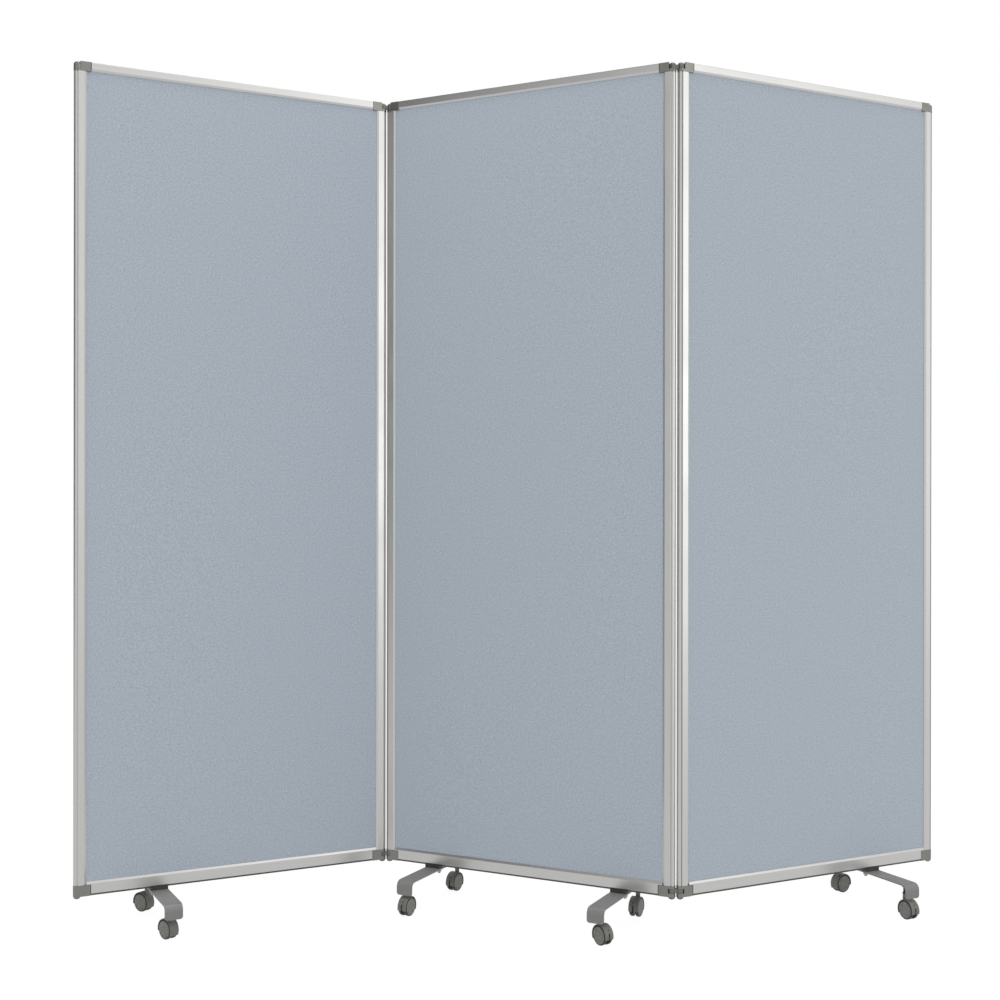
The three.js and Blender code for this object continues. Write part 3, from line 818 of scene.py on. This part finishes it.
class SCREEN_OT_corners(bpy.types.Operator):
    """Finishes the moulded corners and the hinge links"""

    bl_idname = "screen.corners"
    bl_label = "Corners and hinges"

    def execute(self, context):
        name = "metallic grey nylon"
        corner = moulded_plastic(f"{name} corner", colours().corner, 0.3, flake=0.9)
        link = moulded_plastic(f"{name} hinge link", colours().link, 0.35, flake=0.9)
        for level in levels:
            for side in sides:
                for panel in panel_turns:
                    give(f"{panel}_corner_{level}_{side}", corner)
                give(f"{side}_hinge_link_{level}", link)
        return {"FINISHED"}


class SCREEN_OT_feet(bpy.types.Operator):
    """Finishes the foot straps with their saddles and bolts"""

    bl_idname = "screen.feet"
    bl_label = "Feet"

    def execute(self, context):
        strap = powder_coat("powder coated steel strap", colours().strap)
        saddle = moulded_plastic("moulded nylon saddle", colours().saddle, 0.6)
        bolt = plated_steel("zinc plated steel", colours().bolt)
        for foot in feet:
            give(f"{foot}_foot_strap", strap)
            give(f"{foot}_foot_saddle", saddle)
            give(f"{foot}_foot_bolts", bolt)
        return {"FINISHED"}


def turned_mesh(mesh_name, outline, count, axis="Y"):
    """A turned solid from its outline as (radius, along) pairs that start and end on the axis."""
    vertices, rings, faces = [], [], []
    for radius, along in outline:
        if radius == 0:
            rings.append([len(vertices)] * count)
            spots = [(0.0, 0.0)]
        else:
            rings.append(list(range(len(vertices), len(vertices) + count)))
            turns = [2 * math.pi * i / count for i in range(count)]
            spots = [(radius * math.cos(t), radius * math.sin(t)) for t in turns]
        for x, z in spots:
            spot = (x, along, z) if axis == "Y" else (x, z, along)
            vertices.append(tuple(part * MM for part in spot))
    for low, high in zip(rings, rings[1:]):
        for i in range(count):
            j = (i + 1) % count
            around = [low[i], low[j], high[j], high[i]]
            faces.append([v for k, v in enumerate(around) if v not in around[:k]])
    mesh = bpy.data.meshes.new(mesh_name)
    mesh.from_pydata(vertices, [], faces)
    tidy_shading(mesh, turned_crease)
    return mesh


def tidy_shading(mesh, crease):
    """Turns all faces outwards, and keeps edges sharper than the crease."""
    shell = bmesh.new()
    shell.from_mesh(mesh)
    bmesh.ops.remove_doubles(shell, verts=shell.verts, dist=0.001 * MM)
    bmesh.ops.recalc_face_normals(shell, faces=shell.faces)
    for face in shell.faces:
        face.smooth = True
    limit = math.radians(crease)
    for edge in shell.edges:
        edge.smooth = len(edge.link_faces) == 2 and edge.calc_face_angle() < limit
    shell.to_mesh(mesh)
    shell.free()
    mesh.update()


def rounded(points, radius, steps=4):
    """The points of a closed outline with each corner rounded."""
    made = []
    count = len(points)
    # A rounding takes less than half of the edges beside it
    most = 0.45
    for i, corner in enumerate(points):
        here = Vector(corner)
        before, after = Vector(points[i - 1]), Vector(points[(i + 1) % count])
        reach = min(radius, (before - here).length * most, (after - here).length * most)
        start = here + (before - here).normalized() * reach
        end = here + (after - here).normalized() * reach
        for k in range(steps + 1):
            t = k / steps
            made.append(tuple(start * (1 - t) ** 2 + here * 2 * t * (1 - t) + end * t**2))
    return made


class SCREEN_OT_casters(bpy.types.Operator):
    """Makes the hooded twin-wheel casters with round wheels and a rounded hood"""

    bl_idname = "screen.casters"
    bl_label = "Casters"

    # How many flats stand for a full round, or for the arc of the hood
    wheel_flats, stem_flats, hole_flats = 72, 40, 20
    edge_flats, hood_flats, plate_flats = 6, 56, 40

    def execute(self, context):
        size = context.scene.caster_sizes
        hood_finish = moulded_plastic("moulded nylon hood", colours().hood, 0.38)
        stem_finish = plated_steel("blackened steel", colours().stem)
        wheel_finish = wheel_plastic(size)
        wheels_mesh = self.wheels_mesh(size)
        wheels_mesh.materials.append(wheel_finish)
        _, axle, trail = self.caster_place("left_front_caster")
        hood_mesh = self.hood_mesh(size, trail.length / MM, axle.z / MM)
        for finish in (hood_finish, stem_finish):
            hood_mesh.materials.append(finish)
        for caster in [f"{foot}_{end}_caster" for foot in feet for end in ("front", "back")]:
            stem, axle, trail = self.caster_place(caster)
            turn = Matrix.Rotation(math.atan2(trail.y, trail.x), 4, "Z")
            hood = bpy.data.objects.new(f"{caster}_hood_shell", hood_mesh)
            hood.matrix_world = Matrix.Translation(stem) @ turn
            pair = bpy.data.objects.new(f"{caster}_wheel_pair", wheels_mesh)
            pair.matrix_world = Matrix.Translation(axle) @ turn
            for made in (hood, pair):
                context.scene.collection.objects.link(made)
            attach(hood, caster)
            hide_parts(f"{caster}_hood")
            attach(pair, f"{caster}_wheels")
            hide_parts(f"{caster}_wheels")
        return {"FINISHED"}

    def caster_place(self, caster):
        """The foot of the stem's axis, the axle, and the way from one to the other on the floor."""
        stem = joint_places[f"{caster}_swivel"].copy()
        axle = joint_places[f"{caster}_axle"]
        stem.z = 0.0
        return stem, axle, Vector((axle.x - stem.x, axle.y - stem.y, 0.0))

    def wheels_mesh(self, size):
        """Two wheels on one axle, each with a rounded edge and a shallow domed cover."""
        radius, inner, outer = size.wheel_radius, size.wheel_inner, size.wheel_outer
        edge, rise = size.wheel_rounding, size.cover_rise
        bevel = edge / 4
        side = [(size.axle_radius, inner), (radius - 2 * bevel, inner), (radius, inner + bevel)]
        side += [(radius, (inner + outer) / 2)]
        for k in range(self.edge_flats + 1):
            angle = math.radians(90 * k / self.edge_flats)
            side.append(
                (radius - edge * (1 - math.cos(angle)), outer - edge * (1 - math.sin(angle)))
            )
        # A shallow groove parts the domed cover from the tread
        cover = radius - edge - bevel
        side += [(cover, outer - rise), (cover - bevel, outer)]
        side += [(cover * share, outer + rise * (1 - share**2)) for share in (0.75, 0.5, 0.25)]
        side += [(0.0, outer + rise)]
        other = [(r, -a) for r, a in reversed(side)]
        return turned_mesh("caster_wheel_pair", other + side, self.wheel_flats)

    def hood_mesh(self, size, trail, axle_height):
        """The hood over both wheels, the plate between them, the boss and the stem."""
        hood = link_new("hood", *self.fender(size, trail, axle_height))
        plate = link_new("plate", *self.plate(size, trail, axle_height))
        for piece in (hood, plate):
            tidy_shading(piece.data, hood_crease)
        cutters = self.cutters(size, trail, axle_height)
        shell = bmesh.new()
        for piece in (hood, plate):
            for cutter in cutters:
                cut = piece.modifiers.new("cut", "BOOLEAN")
                cut.operation = "DIFFERENCE"
                cut.object = cutter
                cut.solver = "EXACT"
            graph = bpy.context.evaluated_depsgraph_get()
            mesh = bpy.data.meshes.new_from_object(piece.evaluated_get(graph))
            shell.from_mesh(mesh)
            bpy.data.meshes.remove(mesh)
        for spent in (hood, plate, *cutters):
            bpy.data.objects.remove(spent)
        plastic_faces = len(shell.faces)
        stem = self.stem(size, trail, axle_height)
        shell.from_mesh(stem)
        bpy.data.meshes.remove(stem)
        # The stem above the boss is of steel, the second of the two finishes
        boss_top = (axle_height + size.hood_radius + size.boss_rise) * MM
        shell.faces.ensure_lookup_table()
        for face in shell.faces[plastic_faces:]:
            if face.calc_center_median().z >= boss_top:
                face.material_index = 1
        mesh = bpy.data.meshes.new("caster_hood")
        shell.to_mesh(mesh)
        shell.free()
        tidy_shading(mesh, hood_crease)
        return mesh

    def arc(self, size, flats):
        """The angles about the axle that the hood runs through."""
        start, end = -size.trailing_drop, math.pi + size.stem_side_drop
        return [start + (end - start) * i / flats for i in range(flats + 1)]

    def fender(self, size, trail, axle_height):
        """A curved shell with rounded edges that runs furthest down on the stem's side."""
        outer, inner = size.hood_radius, size.hood_radius - size.hood_wall
        half = size.hood_half_width
        section = [(inner, -half), (outer, -half), (outer, half), (inner, half)]
        loop = rounded(section, size.hood_rounding, 5)
        vertices, faces = [], []
        for angle in self.arc(size, self.hood_flats):
            for radius, across in loop:
                x, z = trail + radius * math.cos(angle), axle_height + radius * math.sin(angle)
                vertices.append((x * MM, across * MM, z * MM))
        count = len(loop)
        for i in range(self.hood_flats):
            here, there = i * count, (i + 1) * count
            for k in range(count):
                j = (k + 1) % count
                faces.append((here + k, here + j, there + j, there + k))
        faces.append(tuple(range(count)))
        faces.append(tuple(self.hood_flats * count + k for k in reversed(range(count))))
        return vertices, faces

    def cutters(self, size, trail, axle_height):
        """What the upright slot and the round hole take out of the trailing side."""
        start = size.hood_radius - size.hood_wall - size.cut_depth
        length = size.cut_depth + 2 * size.hood_wall
        half = size.slot_half
        low, high = axle_height - size.slot_below, axle_height + size.slot_above
        slot = self.cutter(
            rounded([(-high, -half), (-low, -half), (-low, half), (-high, half)], half),
            Matrix.Translation(((trail + start) * MM, 0, 0)) @ Matrix.Rotation(math.pi / 2, 4, "Y"),
            length,
        )
        turns = [2 * math.pi * k / self.hole_flats for k in range(self.hole_flats)]
        hole = self.cutter(
            [(size.hole_radius * math.cos(t), size.hole_radius * math.sin(t)) for t in turns],
            Matrix.Translation((trail * MM, 0, axle_height * MM))
            @ Matrix.Rotation(math.pi / 2 - size.hole_angle, 4, "Y")
            @ Matrix.Translation((0, 0, start * MM)),
            length,
        )
        return [slot, hole]

    def cutter(self, outline, place, length):
        """A prism that stands on its outline and is as long as asked."""
        count = len(outline)
        vertices = [(x * MM, y * MM, 0.0) for x, y in outline]
        vertices += [(x * MM, y * MM, length * MM) for x, y in outline]
        faces = [tuple(reversed(range(count))), tuple(range(count, 2 * count))]
        faces += [(k, (k + 1) % count, count + (k + 1) % count, count + k) for k in range(count)]
        made = link_new("cutter", vertices, faces, place)
        tidy_shading(made.data, hood_crease)
        return made

    def plate(self, size, trail, axle_height):
        """The plate between the wheels, with eased edges."""
        reach = size.hood_radius - size.hood_wall / 2
        outline = [
            (reach * math.cos(angle), reach * math.sin(angle))
            for angle in self.arc(size, self.plate_flats)
        ]
        outline += [(-size.web_foot, -size.web_drop), (size.web_foot, -size.web_drop)]
        half, ease = size.web_half, size.hood_wall / 3
        vertices, faces, count = [], [], len(outline)
        eased = 1 - ease / reach
        for across, scale in ((-half, eased), (-half + ease, 1), (half - ease, 1), (half, eased)):
            for x, z in outline:
                x, z = trail + x * scale, axle_height + z * scale
                vertices.append((x * MM, across * MM, z * MM))
        faces += [tuple(range(count)), tuple(3 * count + k for k in reversed(range(count)))]
        for ring in range(3):
            here, there = ring * count, (ring + 1) * count
            for k in range(count):
                j = (k + 1) % count
                faces.append((here + k, there + k, there + j, here + j))
        return vertices, faces

    def stem(self, size, trail, axle_height):
        """The boss on the hood, the ring above it and the threaded stem up to the strap."""
        inner = size.hood_radius - size.hood_wall
        root = axle_height + math.sqrt(inner**2 - trail**2) - size.hood_wall
        boss, stem, ring = size.boss_radius, size.stem_radius, size.ring_radius
        boss_top = axle_height + size.hood_radius + size.boss_rise
        ring_base = boss_top + size.ring_gap
        ring_top = ring_base + size.ring_height
        ease, turn = size.ring_height / 4, size.thread_pitch
        thread_root = stem - 0.4 * turn
        outline = [(0.0, root), (boss, root), (boss, boss_top - ease), (boss - ease, boss_top)]
        outline += [(stem, boss_top), (stem, ring_base), (ring - ease, ring_base)]
        outline += [(ring, ring_base + ease), (ring, ring_top - ease), (ring - ease, ring_top)]
        height = ring_top
        while height < size.stem_top - 2 * turn:
            outline += [(stem, height), (thread_root, height + turn / 2)]
            height += turn
        outline += [(stem, height), (stem, size.stem_top - turn)]
        outline += [(stem - turn, size.stem_top), (0.0, size.stem_top)]
        return turned_mesh("stem", outline, self.stem_flats, axis="Z")


class SCREEN_OT_stage(bpy.types.Operator):
    """Makes the pale floor, the soft lights and the camera"""

    bl_idname = "screen.stage"
    bl_label = "Stage"

    # The open floor is mostly an even white to the camera, and a little over full white
    white_share = 0.9
    white_level = 1.06
    # Half the floor's width, and how far the camera sees, in metres
    floor_half = 9.0
    sight = 60.0
    # The walls turn into the ceiling up to this height of a direction of length 1
    ceiling_rise = 0.5

    def execute(self, context):
        studio = context.scene.screen_studio
        middle = (0.0, 0.0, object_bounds()[1][2] / 2)
        key_front = (studio.key_width, studio.key_height)
        top_front = (studio.top_width, studio.top_width)
        self.floor(studio)
        self.world(studio)
        self.lamp("key light", studio.key_place, middle, key_front, studio.key_power)
        self.lamp("top light", studio.top_place, (0.0, 0.0, 0.0), top_front, studio.top_power)
        self.camera(context, studio)
        context.scene.view_settings.view_transform = "Standard"
        return {"FINISHED"}

    def floor(self, studio):
        """A matt floor, just white where it is open, that keeps the shadow of the screen."""
        half = self.floor_half
        corners = [(-half, -half, 0), (half, -half, 0), (half, half, 0), (-half, half, 0)]
        made = link_new("studio_floor", corners, [(0, 1, 2, 3)])
        material, tree = new_material("matt white floor")
        matt = add_node(tree, "ShaderNodeBsdfDiffuse", {"Color": linear(colours().floor)})
        path = add_node(tree, "ShaderNodeLightPath").outputs
        level = mixed(tree, path["Is Glossy Ray"], self.white_level, studio.mirror_floor)
        glow = add_node(tree, "ShaderNodeEmission", {"Strength": level})
        seen = maths(tree, "MAXIMUM", path["Is Camera Ray"], path["Is Glossy Ray"])
        seen = maths(tree, "MAXIMUM", seen, path["Is Transmission Ray"])
        share = maths(tree, "MULTIPLY", seen, self.white_share)
        links = {0: share, 1: matt.outputs[0], 2: glow.outputs[0]}
        surface = add_node(tree, "ShaderNodeMixShader", links).outputs[0]
        add_node(tree, "ShaderNodeOutputMaterial", {"Surface": surface})
        made.data.materials.append(material)
        made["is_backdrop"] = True

    def world(self, studio):
        """A white backdrop, an even fill, and walls with a dark and a bright card for metal."""
        world = bpy.data.worlds.new("studio")
        bpy.context.scene.world = world
        world.use_nodes = True
        tree = world.node_tree
        tree.nodes.clear()
        path = add_node(tree, "ShaderNodeLightPath").outputs
        direction = add_node(tree, "ShaderNodeTexCoord").outputs["Generated"]
        level = vector_maths(tree, "MULTIPLY", direction, (1.0, 1.0, 0.0))
        around = vector_maths(tree, "NORMALIZE", level)
        dark = self.card(tree, around, studio.dark_heading, studio.dark_core, studio.dark_reach)
        bright = self.card(
            tree, around, studio.bright_heading, studio.bright_core, studio.bright_reach
        )
        shaded = mixed(tree, dark, studio.mirror_level, studio.dark_card)
        walls = mixed(tree, bright, shaded, studio.bright_card)
        rise = add_node(tree, "ShaderNodeSeparateXYZ", {0: direction}).outputs["Z"]
        ceiling = ranged(tree, rise, 0.0, self.ceiling_rise, 1.0, studio.mirror_ends)
        mirrored = maths(tree, "MULTIPLY", walls, ceiling)
        lit = mixed(tree, path["Is Glossy Ray"], studio.fill_level, mirrored)
        clear = maths(tree, "MAXIMUM", path["Is Camera Ray"], path["Is Transmission Ray"])
        links = {"Color": (1.0, 1.0, 1.0, 1.0), "Strength": mixed(tree, clear, lit, 1.0)}
        sky = add_node(tree, "ShaderNodeBackground", links).outputs[0]
        add_node(tree, "ShaderNodeOutputWorld", {"Surface": sky})

    def card(self, tree, around, heading, core, reach):
        """The share of an upright card with soft edges in what a direction meets."""
        toward = (math.sin(heading), -math.cos(heading), 0.0)
        facing = vector_maths(tree, "DOT_PRODUCT", around, toward)
        return ranged(
            tree, facing, math.cos(reach), math.cos(core), interpolation_type="SMOOTHSTEP"
        )

    def lamp(self, name, place, aim, front, power):
        """A rectangular soft light that faces its aim."""
        data = bpy.data.lights.new(name, "AREA")
        data.shape = "RECTANGLE"
        data.size, data.size_y = front
        data.energy = power
        made = bpy.data.objects.new(name, data)
        made.location = place
        toward = Vector(aim) - Vector(place)
        made.rotation_euler = toward.to_track_quat("-Z", "Y").to_euler()
        bpy.context.scene.collection.objects.link(made)

    def camera(self, context, studio):
        """A level camera in front of the middle panel, a little to its left."""
        data = bpy.data.cameras.new("camera")
        data.sensor_width = 36.0
        data.sensor_fit = "HORIZONTAL"
        data.lens = studio.camera_lens
        data.clip_end = self.sight
        made = bpy.data.objects.new("camera", data)
        centre = (left_pin + right_pin) / 2
        across, back = centre.x + studio.camera_side, centre.y - studio.camera_distance
        pitch = math.pi / 2 + studio.camera_pitch
        made.location = (across, back, studio.camera_height)
        made.rotation_euler = (pitch, studio.camera_roll, studio.camera_yaw)
        context.scene.collection.objects.link(made)
        context.scene.camera = made


class SCREEN_PT_build(bpy.types.Panel):
    """Lists the parts of the screen in the order they are made"""

    bl_idname = "SCREEN_PT_build"
    bl_label = "Privacy screen"
    bl_space_type = "VIEW_3D"
    bl_region_type = "UI"
    bl_category = "Screen"

    def draw(self, context):
        for group_name, _ in groups:
            group = getattr(context.scene, group_name)
            box = self.layout.box()
            for name in group.bl_rna.properties.keys():
                if name not in ("rna_type", "name"):
                    box.prop(group, name)
        for operator in operators:
            self.layout.operator(operator.bl_idname)


groups = (
    ("screen_sizes", ScreenSizes),
    ("caster_sizes", CasterSizes),
    ("screen_colours", ScreenColours),
    ("screen_studio", ScreenStudio),
)
operators = (
    SCREEN_OT_cloth,
    SCREEN_OT_frames,
    SCREEN_OT_corners,
    SCREEN_OT_feet,
    SCREEN_OT_casters,
    SCREEN_OT_stage,
)


def register():
    for name, group in groups:
        bpy.utils.register_class(group)
        setattr(bpy.types.Scene, name, bpy.props.PointerProperty(type=group))
    for operator in operators:
        bpy.utils.register_class(operator)
    bpy.utils.register_class(SCREEN_PT_build)


def unregister():
    bpy.utils.unregister_class(SCREEN_PT_build)
    for operator in reversed(operators):
        bpy.utils.unregister_class(operator)
    for name, group in reversed(groups):
        delattr(bpy.types.Scene, name)
        bpy.utils.unregister_class(group)


def main():
    register()
    bpy.ops.screen.cloth()
    bpy.ops.screen.frames()
    bpy.ops.screen.corners()
    bpy.ops.screen.feet()
    bpy.ops.screen.casters()
    bpy.ops.screen.stage()


if __name__ == "__main__":
    main()
